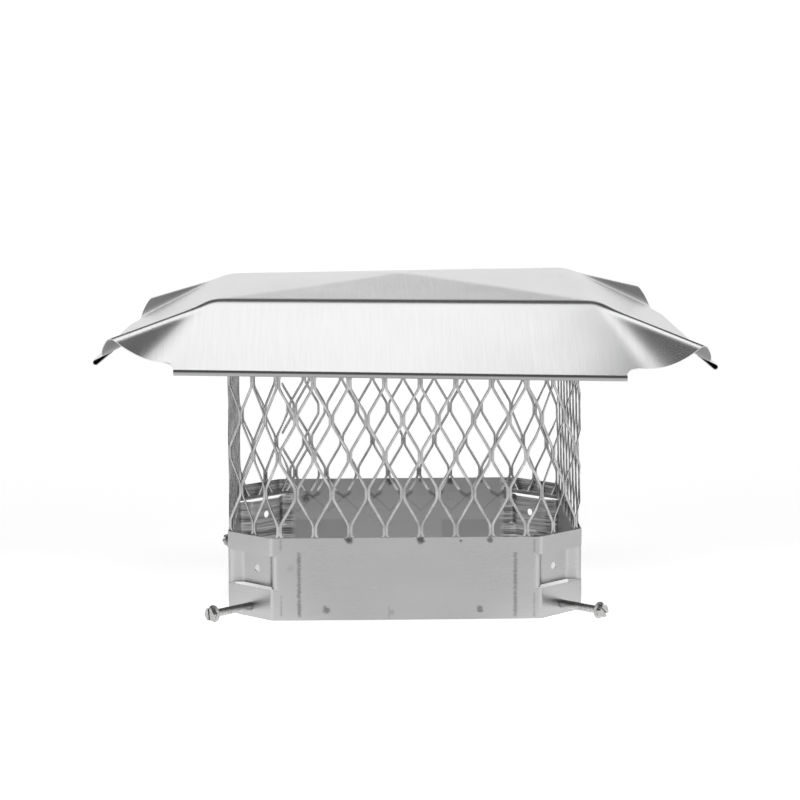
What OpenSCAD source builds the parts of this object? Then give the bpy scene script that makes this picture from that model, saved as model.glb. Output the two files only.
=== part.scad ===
// Bolt-on chimney cap for a single square flue: a pressed hood over a cage of expanded metal,
// on a collar that slips over the flue tile and is clamped by four screws.
// Millimetres. The origin is the centre of the collar's bottom opening, Z is up and -Y is the front.

/* [Collar] */
// Width of the collar over its outer faces, left to right
collar_w = 236; // [210:1:300]
// Depth of the collar over its outer faces, front to back
collar_d = 245; // [210:1:300]
// Height of the collar
collar_h = 54.7; // [50:0.1:80]
// Thickness of the stainless sheet in the collar and the hood
sheet_t = 0.6; // [0.5:0.1:1]
// Length that each bevelled corner takes off a side
bevel_leg = 29.4; // [26:0.1:34]
// Outside radius of the collar's bends
bend_r = 4.5; // [3:0.5:6]

/* [Seating pads] */
// Width of the flat of the pad that is pressed in at each bevelled corner
pad_w = 24.4; // [16:0.1:28]
// How far the pad is pressed in from the corner's face
pad_depth = 7; // [5:0.5:9]
// Height of the pad's lower edge, which rests on the rim of the flue tile
pad_z = 20.5; // [18:0.5:24]
// Height of the pad
pad_h = 22; // [14:0.5:24]
// How far the pressed strip runs on round each bend, along the side
pad_wrap = 4.5; // [3:0.5:8]
// Width of the shear gap above and below the pad
slit = 0.35; // [0.2:0.05:0.6]
// Bore of the hole in the middle of the pad
pad_hole_d = 5; // [3:0.5:8]

/* [Clamp screws] */
// Diameter of the screw's shank
screw_d = 5.2; // [4:0.1:6.4]
// Length of the shank under the head
screw_len = 50; // [45:1:60]
// Length of shank that stands out of the collar
screw_out = 32; // [20:0.5:36]
// Height of the screw's axis
screw_z = 7; // [6:0.5:9]
// Hexagon of the head across its flats
head_af = 8; // [7:0.1:9]
// Height of the hexagon above its washer face
head_h = 3.6; // [2.5:0.1:5]
// Diameter of the head's washer face
washer_d = 11.2; // [9:0.1:13]
// Thickness of the washer face at its edge
washer_t = 0.9; // [0.6:0.1:1.4]
// Width of the driver slot
slot_w = 1.2; // [0.8:0.1:1.6]
// Depth of the driver slot
slot_depth = 1.5; // [1:0.1:2]
// Hexagon of the weld nut across its flats
nut_af = 9.5; // [8:0.1:11]
// Thickness of the weld nut
nut_t = 3.4; // [2.5:0.1:5]
// Radial clearance of the screw in its nut
nut_clearance = 0.05; // [0.02:0.01:0.1]
// Radial clearance of the screw in the collar's hole
hole_clearance = 0.4; // [0.3:0.05:0.8]

/* [Screen] */
// Thickness of the expanded metal
screen_t = 1.2; // [0.8:0.1:1.6]
// Distance between neighbouring bonds round the screen
mesh_pitch = 23.15; // [18:0.05:30]
// Distance between one row of bonds and the next
mesh_row = 24.2; // [18:0.1:30]
// Width of a bond, where two strands lie side by side
bond_w = 3.6; // [2.6:0.1:4.4]
// Length of a bond's straight sides
bond_l = 6.8; // [4:0.1:9]
// Width of a strand
strand_w = 1.9; // [1.4:0.1:2.4]
// Height of the lowest full row of bonds above the collar's rim
foot_bond = 5.1; // [2:0.1:9]
// Distance of one foot from the middle of the front
foot_shift = -13.7; // [-15:0.1:15]
// How far the screen reaches down inside the collar
screen_reach = 9; // [6:0.5:11]
// Width of the seam where the ends of the screen lie over each other, to the nearest bond
seam_lap = 30; // [20:1:40]
// Gap between the screen and the collar, and between the screen and the hood
seat_gap = 0.05; // [0.02:0.01:0.2]

/* [Hood] */
// Height of the hood's fold above the collar's rim
hood_lift = 156.1; // [120:0.1:200]
// How far the flat of the hood runs out past the collar
hood_lip = 4; // [3:0.5:20]
// Height of the point where the creases of the top cross, above the fold
hood_rise = 8.5; // [4:0.5:14]
// Slope of the flanges below the level
flange_slope = 27.5; // [22:0.5:32]
// Length of a flange from the fold to its hem
flange_len = 82.6; // [82.5:0.1:95]
// Length of the hem along each flange
hem_w = 281; // [270:1:285]
// Thickness over the rolled nose of the hem
hem_d = 4; // [3:0.1:5]
// How far the front hem sits to the left of the middle, as on the pictured piece
hem_shift = 5; // [0:0.2:6]
// Length of the hem's return under the flange
hem_back = 12; // [9:0.5:14]
// Distance from the fold to the free edges of a corner ear
ear_len = 74.5; // [66:0.5:74.5]
// Radius of the round free edge of an ear
ear_r = 48; // [30:0.5:60]
// Slope of the ridge of an ear below the level
ear_slope = 12.8; // [12:0.1:17]
// Radius of the relief between a hem and an ear
relief_r = 7.5; // [4:0.5:8]
// How far the top is sprung out of level at the corners of the fold, as on the pictured piece
spring = 1.6; // [0:0.1:2]

/* [Hidden] */

// Amount by which a cutter runs past what it cuts
past = 1;
half_w = collar_w / 2;
half_d = collar_d / 2;
bevel_half = bevel_leg / sqrt(2);

// Outward directions of the four corners, seen from above
FRONT_LEFT_ANGLE = 225;
FRONT_RIGHT_ANGLE = 315;
BACK_LEFT_ANGLE = 135;
BACK_RIGHT_ANGLE = 45;
CORNERS = [FRONT_LEFT_ANGLE, FRONT_RIGHT_ANGLE, BACK_LEFT_ANGLE, BACK_RIGHT_ANGLE];

// Leg of a bevelled outline's corners after the outline is moved in by t
function inset_leg(leg, t) = leg - (2 - sqrt(2)) * t;

// The eight corners of a bevelled rectangle, from the front of the right side on round the back
function bevelled(w, d, leg) = [
    [w, leg - d], [w, d - leg], [w - leg, d], [leg - w, d],
    [-w, d - leg], [-w, leg - d], [leg - w, -d], [w - leg, -d]
];

// Point at distance r from a towards b
function toward(a, b, r) = a + r * (b - a) / norm(b - a);

// Arc that rounds the corner b of the path a, b, c
function round_corner(a, b, c, r) =
    let (u = (a - b) / norm(a - b), v = (c - b) / norm(c - b))
    let (half = acos(u * v) / 2, mid = (u + v) / norm(u + v))
    let (centre = b + mid * r / sin(half), first = b + u * r / tan(half) - centre)
    let (turn = (180 - 2 * half) * (u[0] * v[1] - u[1] * v[0] > 0 ? -1 : 1))
    [for (k = [0:ARC_STEPS]) centre + turned(first, turn * k / ARC_STEPS)];
ARC_STEPS = 5;

function turned(p, a) = [p[0] * cos(a) - p[1] * sin(a), p[0] * sin(a) + p[1] * cos(a)];

// Path with each inner corner rounded
function rounded(path, r) = [
    for (i = [0:len(path) - 1]) each
        i == 0 || i == len(path) - 1 ? [path[i]] : round_corner(path[i - 1], path[i], path[i + 1], r)
];

// Left-hand normal of the step from a to b
function left_of(a, b) = [a[1] - b[1], b[0] - a[0]] / norm(b - a);

// Path moved t to its left
function beside(path, t) = [
    for (i = [0:len(path) - 1])
        let (before = i == 0 ? left_of(path[0], path[1]) : left_of(path[i - 1], path[i]))
        let (after = i == len(path) - 1 ? before : left_of(path[i], path[i + 1]))
        path[i] + t * (before + after) / (1 + before * after)
];

// Solid outline of a bevelled rectangle with rounded bends
module bevelled_plan(w, d, leg, r) {
    pts = bevelled(w, d, leg);
    reach = r * tan(22.5);
    polygon([
        for (i = [0:7]) each [toward(pts[i], pts[(i + 7) % 8], reach), toward(pts[i], pts[(i + 1) % 8], reach)]
    ]);
    for (i = [0:7]) {
        inward = toward(pts[i], pts[(i + 7) % 8], 1) + toward(pts[i], pts[(i + 1) % 8], 1) - 2 * pts[i];
        translate(pts[i] + inward / norm(inward) * r / cos(22.5)) circle(r = r, $fn = 48);
    }
}

// Places a child, drawn with its outward direction along +Y, in the middle of a corner's bevel
module at_corner(a) {
    translate([sign(cos(a)) * (half_w - bevel_leg / 2), sign(sin(a)) * (half_d - bevel_leg / 2), 0])
        rotate([0, 0, a - 90]) children();
}

// Cylinder along +Y from y0 to y1
module bar(d, y0, y1) {
    translate([0, y0, 0]) rotate([-90, 0, 0]) cylinder(d = d, h = y1 - y0, $fn = 48);
}

// Plan of the strip that is pressed in at a corner
module pressed_strip_plan() {
    join = 2;
    bend = [bevel_half, 0];
    along = [1, -1] / sqrt(2);
    right = [bend + (pad_wrap + join) * along, bend + pad_wrap * along, [pad_w / 2, -pad_depth]];
    path = concat(right, [for (i = [2:-1:0]) [-right[i][0], right[i][1]]]);
    skin = rounded(path, 2.5);
    inner = beside(skin, sheet_t);
    polygon(concat(skin, [for (i = [len(inner) - 1:-1:0]) inner[i]]));
}

// The ring of sheet with its four lanced corners and screw holes
module collar() {
    color("lightgray") difference() {
        union() {
            difference() {
                linear_extrude(collar_h) bevelled_plan(half_w, half_d, bevel_leg, bend_r);
                translate([0, 0, -past]) linear_extrude(collar_h + 2 * past) bevelled_plan(
                    half_w - sheet_t, half_d - sheet_t, inset_leg(bevel_leg, sheet_t), bend_r - sheet_t
                );
                for (a = CORNERS) lance_window(sign(cos(a)), sign(sin(a)));
            }
            for (a = CORNERS) at_corner(a)
                translate([0, 0, pad_z]) linear_extrude(pad_h) pressed_strip_plan();
        }
        for (a = CORNERS) at_corner(a) {
            translate([0, 0, pad_z + pad_h / 2])
                bar(pad_hole_d, -pad_depth - sheet_t - past, past - pad_depth);
            translate([0, 0, screw_z]) bar(screw_d + 2 * hole_clearance, -sheet_t - past, past);
        }
    }
}

// The part of the wall that the pressed strip is drawn from, with the slits over and under it
module lance_window(side_x, side_y) {
    size = [bevel_leg + pad_wrap + past, bevel_leg + pad_wrap + past, pad_h + 2 * slit];
    corner = [
        side_x > 0 ? half_w + past - size[0] : -half_w - past,
        side_y > 0 ? half_d + past - size[1] : -half_d - past,
        pad_z - slit
    ];
    translate(corner) cube(size);
}

// A slotted hexagon head on a washer face, with the shank pointing in
module clamp_screw(a, turn) {
    head_y = screw_out + washer_t;
    tip = screw_d / 5;
    inner_end = screw_out - screw_len;
    color("silver") at_corner(a) translate([0, 0, screw_z]) difference() {
        union() {
            bar(screw_d, inner_end + tip, screw_out + washer_t / 2);
            translate([0, inner_end, 0]) rotate([-90, 0, 0])
                cylinder(d1 = screw_d - 2 * tip, d2 = screw_d, h = tip, $fn = 48);
            translate([0, screw_out, 0]) rotate([-90, 0, 0]) {
                cylinder(d = washer_d, h = washer_t / 2, $fn = 48);
                translate([0, 0, washer_t / 2])
                    cylinder(d1 = washer_d, d2 = head_af, h = washer_t, $fn = 48);
                rotate([0, 0, turn]) cylinder(d = head_af / cos(30), h = washer_t + head_h, $fn = 6);
            }
        }
        translate([0, head_y + head_h, 0]) rotate([0, turn, 0])
            cube([slot_w, 2 * slot_depth, washer_d], center = true);
    }
}

// Hexagon nut welded against the inner face of the bevel
module clamp_nut(a) {
    color("darkgray") at_corner(a) translate([0, 0, screw_z]) difference() {
        translate([0, -sheet_t, 0]) rotate([90, 0, 0]) cylinder(d = nut_af / cos(30), h = nut_t, $fn = 6);
        bar(screw_d + 2 * nut_clearance, -sheet_t - nut_t - past, past);
    }
}

// The screen lies against the inner faces of the collar and clears the insides of its bends
screen_w = half_w - sheet_t - seat_gap;
screen_d = half_d - sheet_t - seat_gap;
screen_leg = inset_leg(bevel_leg, sheet_t) + bend_r * tan(22.5);
screen_pts = bevelled(screen_w, screen_d, screen_leg);
screen_bottom = collar_h - screen_reach;
foot_z = collar_h + foot_bond;

// Faces of the screen in the order in which the strip runs, from the back left bend on round the front
FACES = [3, 4, 5, 6, 7, 0, 1, 2];
FRONT_STEPS = 3;
function face_len(f) = norm(screen_pts[(f + 1) % 8] - screen_pts[f]);
function run_to(n) = n == 0 ? 0 : run_to(n - 1) + face_len(FACES[n - 1]);
mesh_phase = run_to(FRONT_STEPS) + face_len(FACES[FRONT_STEPS]) / 2 + foot_shift;

// Half height of an opening, from the width that is left for a strand between two openings
opening_a = (mesh_pitch - bond_w) / 2;
opening_b = bond_l / 2;
function strand_at(rise) =
    (bond_w / 2 * rise + opening_a * (mesh_row - rise - 2 * opening_b)) / norm([opening_a, rise]);
function find_rise(low, high, n) = let (mid = (low + high) / 2)
    n == 0 ? mid : strand_at(mid) > strand_w ? find_rise(mid, high, n - 1) : find_rise(low, mid, n - 1);
opening_c = opening_b + find_rise(0, mesh_row, 30);
// Room past a bend that takes in every opening that crosses it
straddle = 2 * opening_a;
// The strip starts just inside a column of bonds, so that no cut strand comes loose
column_pitch = mesh_pitch / 2;
strip_start = mesh_phase + round((-seam_lap - mesh_phase) / column_pitch) * column_pitch + bond_w / 8;
// Half the height over which two strands lie side by side in a bond
bond_half = mesh_row - opening_c;

module opening() {
    polygon([
        [opening_a, -opening_b], [opening_a, opening_b], [0, opening_c],
        [-opening_a, opening_b], [-opening_a, -opening_b], [0, -opening_c]
    ]);
}

// The openings that lie whole between s0 and s1 along the strip, laid flat with s = origin at x = 0
module openings(s0, s1, origin) {
    for (row = [floor((screen_bottom - foot_z) / mesh_row) : ceil((screen_top - foot_z) / mesh_row)]) {
        start = mesh_phase + (row % 2 == 0 ? mesh_pitch / 2 : 0);
        first = ceil((s0 + opening_a - start) / mesh_pitch);
        last = floor((s1 - opening_a - start) / mesh_pitch);
        if (last >= first) for (k = [first:last])
            translate([start + k * mesh_pitch - origin, foot_z + row * mesh_row]) opening();
    }
}

// The room to one side of a column of bonds whose strands would hang on no bond, under the lowest bond
// that the screen holds in that column and over its highest, laid flat with s = origin at x = 0
module loose_ends(column, side, origin) {
    odd = abs(column % 2);
    low = odd + 2 * ceil(((screen_bottom - bond_half - foot_z) / mesh_row - odd) / 2);
    high = odd + 2 * floor(((screen_top + bond_half - foot_z) / mesh_row - odd) / 2);
    translate([mesh_phase + column * column_pitch - origin, foot_z]) scale([side, 1])
        for (row = [low - 3, high + 1])
            translate([-bond_w / 8, row * mesh_row]) square([mesh_pitch, 2 * mesh_row]);
}

// Places a flat pattern, x along the strip and y up, on a face of the screen, with its depth inward
module on_face(f) {
    step = screen_pts[(f + 1) % 8] - screen_pts[f];
    translate([screen_pts[f][0], screen_pts[f][1], 0])
        rotate([0, 0, atan2(step[1], step[0])]) rotate([90, 0, 0]) children();
}

// The whole height of the nth face of the strip, laid flat
module face_square(n) {
    translate([0, screen_bottom - past]) square([face_len(FACES[n]), screen_top - screen_bottom + 2 * past]);
}

// Places the same at a bend, square to the line that halves its angle
module on_bend(i) {
    before = screen_pts[i] - toward(screen_pts[i], screen_pts[(i + 7) % 8], 1);
    after = toward(screen_pts[i], screen_pts[(i + 1) % 8], 1) - screen_pts[i];
    step = before + after;
    translate([screen_pts[i][0], screen_pts[i][1], 0])
        rotate([0, 0, atan2(step[1], step[0])]) rotate([90, 0, 0]) children();
}

// The strip of expanded metal, bent round the collar and lapped at the back left
module screen() {
    color("darkgray") {
        difference() {
            translate([0, 0, screen_bottom]) linear_extrude(screen_top - screen_bottom) difference() {
                polygon(screen_pts);
                polygon(bevelled(screen_w - screen_t, screen_d - screen_t, inset_leg(screen_leg, screen_t)));
            }
            for (n = [0:7]) on_face(FACES[n]) translate([0, 0, -2 * screen_t])
                linear_extrude(4 * screen_t) intersection() {
                    openings(
                        run_to(n) - (n == 0 ? straddle : 0), run_to(n + 1) + (n == 7 ? straddle : 0), run_to(n)
                    );
                    face_square(n);
                }
            // Between its ends and the nearest bonds, the strip keeps only strands that a bond holds
            for (n = [0, 7]) on_face(FACES[n]) translate([0, 0, -2 * screen_t])
                linear_extrude(4 * screen_t) intersection() {
                    if (n == 0) loose_ends(ceil(-mesh_phase / column_pitch), -1, 0);
                    else loose_ends(floor((run_to(8) - mesh_phase) / column_pitch), 1, run_to(7));
                    face_square(n);
                }
            // An opening that crosses a bend is cut through both faces at once
            for (n = [1:7]) on_bend(FACES[n]) translate([0, 0, -straddle])
                linear_extrude(straddle + 2 * screen_t) scale([cos(22.5), 1])
                    openings(run_to(n) - straddle, run_to(n) + straddle, run_to(n));
        }
        seam_flap();
    }
}

// The first stretch of the strip, which lies inside its last stretch
module seam_flap() {
    bite = 0.05;
    back_face = FACES[7];
    on_face(back_face) translate([face_len(back_face), 0, -2 * screen_t + bite])
        linear_extrude(screen_t) difference() {
            translate([strip_start, screen_bottom]) square([-strip_start, screen_top - screen_bottom]);
            openings(strip_start - straddle, straddle, 0);
            loose_ends(floor(-mesh_phase / column_pitch), 1, 0);
        }
}

// The hood is one sheet. It is laid out flat with its fold square in the middle, and each flat point
// is carried to its place on the pressed shape.
fold_half = max(half_w, half_d) + hood_lip;
fold_z = collar_h + hood_lift;
// Side to side run of a corner ear, as a share of its reach, where the flange turns up into the ear
valley = 0.42;
// Half width of that turn, in the same share
valley_soft = 0.15;
// How far a flat point is averaged with its surroundings, which rounds the folds and the ridges
soft = 2.5;

// Lift of an ear out of the plane of its flange, from 0 on the flange to 1 at the ridge
function ear_lift(m) = let (a = m - valley + valley_soft)
    a <= 0 ? 0 : (a < 2 * valley_soft ? a * a / (4 * valley_soft) : m - valley) / (1 - valley);

// Where the ridge lies from the flange's plane, for each millimetre of run
ridge_side = cos(ear_slope) - 1;
ridge_out = cos(ear_slope) - cos(flange_slope);
ridge_up = sin(flange_slope) - sqrt(2) * sin(ear_slope);

// Height of the creased top over the fold
function crown(x, y) = hood_rise * (1 - max(abs(x), abs(y)) / fold_half);

// Place of a flat point on the pressed shape with sharp folds
function folded(x, y) =
    let (p = abs(x) - fold_half, q = abs(y) - fold_half)
    p <= 0 && q <= 0 ? [x, y, fold_z + crown(x, y)]
    : q >= p ? folded_front(abs(x), p, q, sign(x), sign(y))
    : let (f = folded_front(abs(y), q, p, sign(y), sign(x))) [f[1], f[0], f[2]];

// The same for a point whose distance q past its fold is the greater
function folded_front(along, p, q, side_along, side_out) =
    let (k = p > 0 ? q * ear_lift(p / q) : 0)
    [
        side_along * (along + k * ridge_side),
        side_out * (fold_half + q * cos(flange_slope) + k * ridge_out),
        fold_z - q * sin(flange_slope) + k * ridge_up
    ];

// Place of a flat point on the pressed shape, with soft folds
RING = [for (k = [0:7]) soft * [cos(45 * k), sin(45 * k)]];
function skin(x, y) = (folded(x, y) + sum([for (r = RING) folded(x + r[0], y + r[1])])) / 9;
function sum(v, i = 0) = i == len(v) - 1 ? v[i] : v[i] + sum(v, i + 1);

// Unit normal of the sheet, pointing up
function skin_normal(x, y) =
    let (e = 0.5, n = cross(skin(x + e, y) - skin(x - e, y), skin(x, y + e) - skin(x, y - e))) n / norm(n);

// A flat point near the corner of the blank, drawn in to the round tip of the ear
function tipped(x, y) =
    let (p = abs(x) - fold_half, q = abs(y) - fold_half, m = max(p, q))
    min(p, q) <= 0 ? [x, y]
    : let (g = 1 - pow(m / ear_len, 3) * (1 - tip_reach(min(p, q) / m)))
    [sign(x) * (fold_half + p * g), sign(y) * (fold_half + q * g)];
function tip_reach(k) = let (r = ear_r / ear_len, c = 1 - r)
    k <= c ? 1 : (c * (1 + k) + sqrt(pow(c * (1 + k), 2) - (1 + k * k) * (2 * c * c - r * r))) / (1 + k * k);

// A flat point of the front flange, drawn to the left with the middle of its hem
function off_middle(x, y) =
    let (q = -y - fold_half, p = abs(x) - fold_half)
    q <= 0 ? x : x - hem_shift * q / ear_len * (p <= strip_end ? 1 : (ear_len - p) / (ear_len - strip_end));

// Grid lines of the blank, the same along both directions
strip_end = (hem_w / 2 + relief_r) - fold_half;
INNER = 3;
LAP_STEPS = 3;
EAR_STEPS = 7;
half_lines = concat(
    [for (i = [1:INNER - 1]) fold_half * i / INNER],
    [fold_half - soft, fold_half - soft / 2, fold_half, fold_half + soft / 2, fold_half + soft],
    [for (i = [1:LAP_STEPS]) fold_half + soft + (strip_end - soft) * i / LAP_STEPS],
    [for (i = [1:EAR_STEPS]) fold_half + strip_end + (ear_len - strip_end) * i / EAR_STEPS]
);
HALF = len(half_lines);
LINES = concat([for (i = [HALF - 1:-1:0]) -half_lines[i]], [0], half_lines);
LAST = len(LINES) - 1;

// Rows of the hem past the ears' edges: along the flange and off it, for the outer and inner skin
NOSE_STEPS = 6;
hem_r = hem_d / 2;
hem_turn = 180 + asin((hem_d - 2 * sheet_t - 0.2) / hem_back);
function nose(a, r) = [flange_len + r * sin(a), r * cos(a) - hem_r];
function past_nose(r) = nose(hem_turn, r) + hem_back * [cos(hem_turn), -sin(hem_turn)];
HEM_ROWS = concat(
    [for (i = [1:3]) let (q = ear_len + relief_r * i / 3) [[q, 0], [q, -sheet_t]]],
    [for (k = [0:NOSE_STEPS]) let (a = hem_turn * k / NOSE_STEPS) [nose(a, hem_r), nose(a, hem_r - sheet_t)]],
    [[past_nose(hem_r), past_nose(hem_r - sheet_t)]]
);
HEM = len(HEM_ROWS);

// Share of its width that the sheet keeps past the fold corner, where the relief narrows it to the hem
function relief(row) =
    let (q = min(HEM_ROWS[row - 1][0][0] - ear_len, relief_r), open = sqrt(q * (2 * relief_r - q)))
    (strip_end - (row > 3 ? relief_r : open)) / strip_end;

// Point of the front hem: u along the fold, then out from the middle, then height
function hem_point(u, row, side) =
    let (f = HEM_ROWS[row - 1][side], over = max(abs(u) - fold_half, 0))
    [
        sign(u) * (min(abs(u), fold_half) + over * relief(row)),
        -fold_half - f[0] * cos(flange_slope) - f[1] * sin(flange_slope),
        fold_z - f[0] * sin(flange_slope) + f[1] * cos(flange_slope)
    ];

function quarter(p, n) = n == 0 ? p : quarter([-p[1], p[0], p[2]], n - 1);

// Point of the sheet at a grid place; side 0 is the outer skin and 1 the inner
function sheet_point(i, j, side) =
    j < 0 ? hem_point(LINES[min(max(i, 0), LAST)], -j, side) - [hem_shift, 0, 0]
    : j > LAST ? quarter(hem_point(-LINES[min(max(i, 0), LAST)], j - LAST, side), 2)
    : i < 0 ? quarter(hem_point(-LINES[j], -i, side), 3)
    : i > LAST ? quarter(hem_point(LINES[j], i - LAST, side), 1)
    : let (t = tipped(off_middle(LINES[i], LINES[j]), LINES[j]))
        skin(t[0], t[1]) - side * sheet_t * skin_normal(t[0], t[1]);

function sprung(p) = [p[0], p[1], p[2] + spring * p[0] * p[1] / (fold_half * fold_half)];

// Cells of the grid that hold sheet: the blank with its ears, and a hem strip past each side
function in_blank(n) = n >= 0 && n < LAST;
function in_strip(n) = n >= EAR_STEPS && n < LAST - EAR_STEPS;
function in_hem(n) = (n < 0 && n >= -HEM) || (n >= LAST && n < LAST + HEM);
function has_sheet(i, j) =
    (in_blank(i) && in_blank(j)) || (in_strip(i) && in_hem(j)) || (in_hem(i) && in_strip(j));

ACROSS = LAST + 2 * HEM + 1;
function at(i, j, side) = ((i + HEM) * ACROSS + j + HEM) * 2 + side;

// Two triangles of the loop a, b, c, d, split so that creases on the diagonals stay sharp
function split(a, b, c, d, main) = main ? [[a, b, c], [a, c, d]] : [[a, b, d], [b, c, d]];
function edge_wall(u, v) = split(v, u, u + 1, v + 1, true);

function cell_faces(i, j) =
    let (a = at(i, j, 0), b = at(i, j + 1, 0), c = at(i + 1, j + 1, 0), d = at(i + 1, j, 0))
    let (main = (i - LAST / 2 + 0.5) * (j - LAST / 2 + 0.5) > 0)
    concat(
        split(a, b, c, d, main),
        [for (f = split(a, b, c, d, main)) [f[2] + 1, f[1] + 1, f[0] + 1]],
        has_sheet(i - 1, j) ? [] : edge_wall(a, b),
        has_sheet(i, j + 1) ? [] : edge_wall(b, c),
        has_sheet(i + 1, j) ? [] : edge_wall(c, d),
        has_sheet(i, j - 1) ? [] : edge_wall(d, a)
    );

module hood() {
    color("gainsboro") polyhedron(
        points = [
            for (i = [-HEM:LAST + HEM]) for (j = [-HEM:LAST + HEM]) for (side = [0, 1])
                sprung(sheet_point(i, j, side))
        ],
        faces = [
            for (i = [-HEM:LAST + HEM - 1]) for (j = [-HEM:LAST + HEM - 1])
                if (has_sheet(i, j)) each cell_faces(i, j)
        ],
        convexity = 8
    );
}

// The screen ends just under the lowest part of the hood that it meets
function underside(p) = sprung([p[0], p[1], fold_z + crown(p[0], p[1]) - sheet_t])[2];
screen_top = min([for (p = screen_pts) underside(p)]) - seat_gap;

collar();
screen();
hood();
clamp_screw(FRONT_LEFT_ANGLE, 6);  // clamp_screw_front_left
clamp_screw(FRONT_RIGHT_ANGLE, 50);  // clamp_screw_front_right
clamp_screw(BACK_LEFT_ANGLE, 115);  // clamp_screw_back_left
clamp_screw(BACK_RIGHT_ANGLE, 20);  // clamp_screw_back_right
clamp_nut(FRONT_LEFT_ANGLE);  // clamp_nut_front_left
clamp_nut(FRONT_RIGHT_ANGLE);  // clamp_nut_front_right
clamp_nut(BACK_LEFT_ANGLE);  // clamp_nut_back_left
clamp_nut(BACK_RIGHT_ANGLE);  // clamp_nut_back_right
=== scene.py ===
"""Looks of a bolt-on chimney cap: fine surfaces and metal finishes over its packed solids."""

import bpy
import numpy as np
from bpy.props import FloatProperty, FloatVectorProperty, IntProperty, PointerProperty
from mathutils import Matrix


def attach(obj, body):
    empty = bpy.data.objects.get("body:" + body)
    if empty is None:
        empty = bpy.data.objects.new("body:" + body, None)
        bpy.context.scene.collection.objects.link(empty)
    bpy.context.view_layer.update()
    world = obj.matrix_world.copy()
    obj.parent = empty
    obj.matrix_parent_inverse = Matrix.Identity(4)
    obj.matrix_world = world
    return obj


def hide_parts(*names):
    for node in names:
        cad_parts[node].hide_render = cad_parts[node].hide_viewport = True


bl_info = {
    "name": "Chimney cap looks",
    "version": (1, 0, 0),
    "blender": (4, 5, 0),
    "location": "3D View > Sidebar > Chimney cap",
    "description": "Builds the fine surfaces, finishes and studio of a bolt-on chimney cap",
    "category": "Object",
}

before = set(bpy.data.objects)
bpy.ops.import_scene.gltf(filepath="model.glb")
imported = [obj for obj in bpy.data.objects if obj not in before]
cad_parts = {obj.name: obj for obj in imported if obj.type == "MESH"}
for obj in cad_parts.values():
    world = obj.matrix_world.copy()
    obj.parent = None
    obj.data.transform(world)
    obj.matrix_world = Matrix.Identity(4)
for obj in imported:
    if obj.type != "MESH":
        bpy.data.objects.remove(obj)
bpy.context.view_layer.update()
MM = 0.001
CORNERS = {"front_left": 225, "front_right": 315, "back_left": 135, "back_right": 45}


def length(name, description, millimetres):
    """A size in metres, given here in millimetres."""
    return FloatProperty(name=name, description=description, default=millimetres * MM, unit="LENGTH", precision=5)


def angle(name, description, degrees):
    """An angle in radians, given here in degrees."""
    return FloatProperty(name=name, description=description, default=np.radians(degrees), unit="ROTATION")


def colour(name, description, value):
    """A linear colour without alpha."""
    return FloatVectorProperty(name=name, description=description, default=value, subtype="COLOR", min=0, max=1)


def share(name, description, value, low=0.0, high=1.0):
    """A plain number between two bounds."""
    return FloatProperty(name=name, description=description, default=value, min=low, max=high)


class CollarSizes(bpy.types.PropertyGroup):
    """Sizes of the collar that the other pieces stand on."""

    width: length("Width", "Width over the outer faces, left to right", 236)
    depth: length("Depth", "Depth over the outer faces, front to back", 245)
    height: length("Height", "Height of the collar", 54.7)
    sheet: length("Sheet", "Thickness of the sheet in the collar and the hood", 0.6)
    bevel_leg: length("Bevel", "Length that each bevelled corner takes off a side", 29.4)
    bend_radius: length("Bend radius", "Outside radius of the collar's bends", 4.5)
    pad_width: length("Pad width", "Width of the flat of a pressed-in pad", 24.4)
    pad_depth: length("Pad depth", "How far a pad is pressed in from its corner's face", 7)
    pad_foot: length("Pad foot", "Height of a pad's lower edge", 20.5)
    pad_height: length("Pad height", "Height of a pad", 22)
    pad_wrap: length("Pad wrap", "How far the pressed strip runs on round each bend, along the side", 4.5)
    slit: length("Slit", "Width of the shear gap above and below a pad", 0.35)
    pad_hole: length("Pad hole", "Bore of the hole in the middle of a pad", 5)
    screw_hole: length("Screw hole", "Bore of the hole for a clamp screw", 6)
    screw_height: length("Screw height", "Height of the clamp screws' holes", 7)


class HoodSizes(bpy.types.PropertyGroup):
    """Sizes of the pressed hood."""

    fold_half: length("Fold", "Half width of the square that the fold runs round", 126.5)
    fold_height: length("Fold height", "Height of the fold", 210.8)
    rise: length("Rise", "Height of the crossing of the creases above the fold", 8.5)
    flange_slope: angle("Flange slope", "Slope of the flanges below the level", 27.5)
    flange_length: length("Flange length", "Length of a flange from the fold to its hem", 82.6)
    hem_width: length("Hem width", "Length of the hem along each flange", 281)
    hem_depth: length("Hem thickness", "Thickness over the rolled nose of the hem", 4)
    hem_return: length("Hem return", "Length of the hem's return under the flange", 12)
    hem_shift: length("Hem shift", "How far the front hem sits to the left of the middle", 5)
    ear_length: length("Ear length", "Distance from the fold to the free edges of an ear", 74.5)
    ear_radius: length("Ear radius", "Radius of the round free edge of an ear", 48)
    ear_slope: angle("Ear slope", "Slope of the ridge of an ear below the level", 12.8)
    relief: length("Relief", "Radius of the relief between a hem and an ear", 7.5)
    spring: length("Spring", "How far the top is sprung out of level at the fold's corners", 1.6)
    soft: length("Softness", "Radius over which folds and ridges are rounded", 6.5)
    valley: share("Valley", "Side run, as a share of the reach, where a flange turns up into an ear", 0.42)
    valley_soft: share("Valley softness", "Half width of that turn, in the same share", 0.15)


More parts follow.
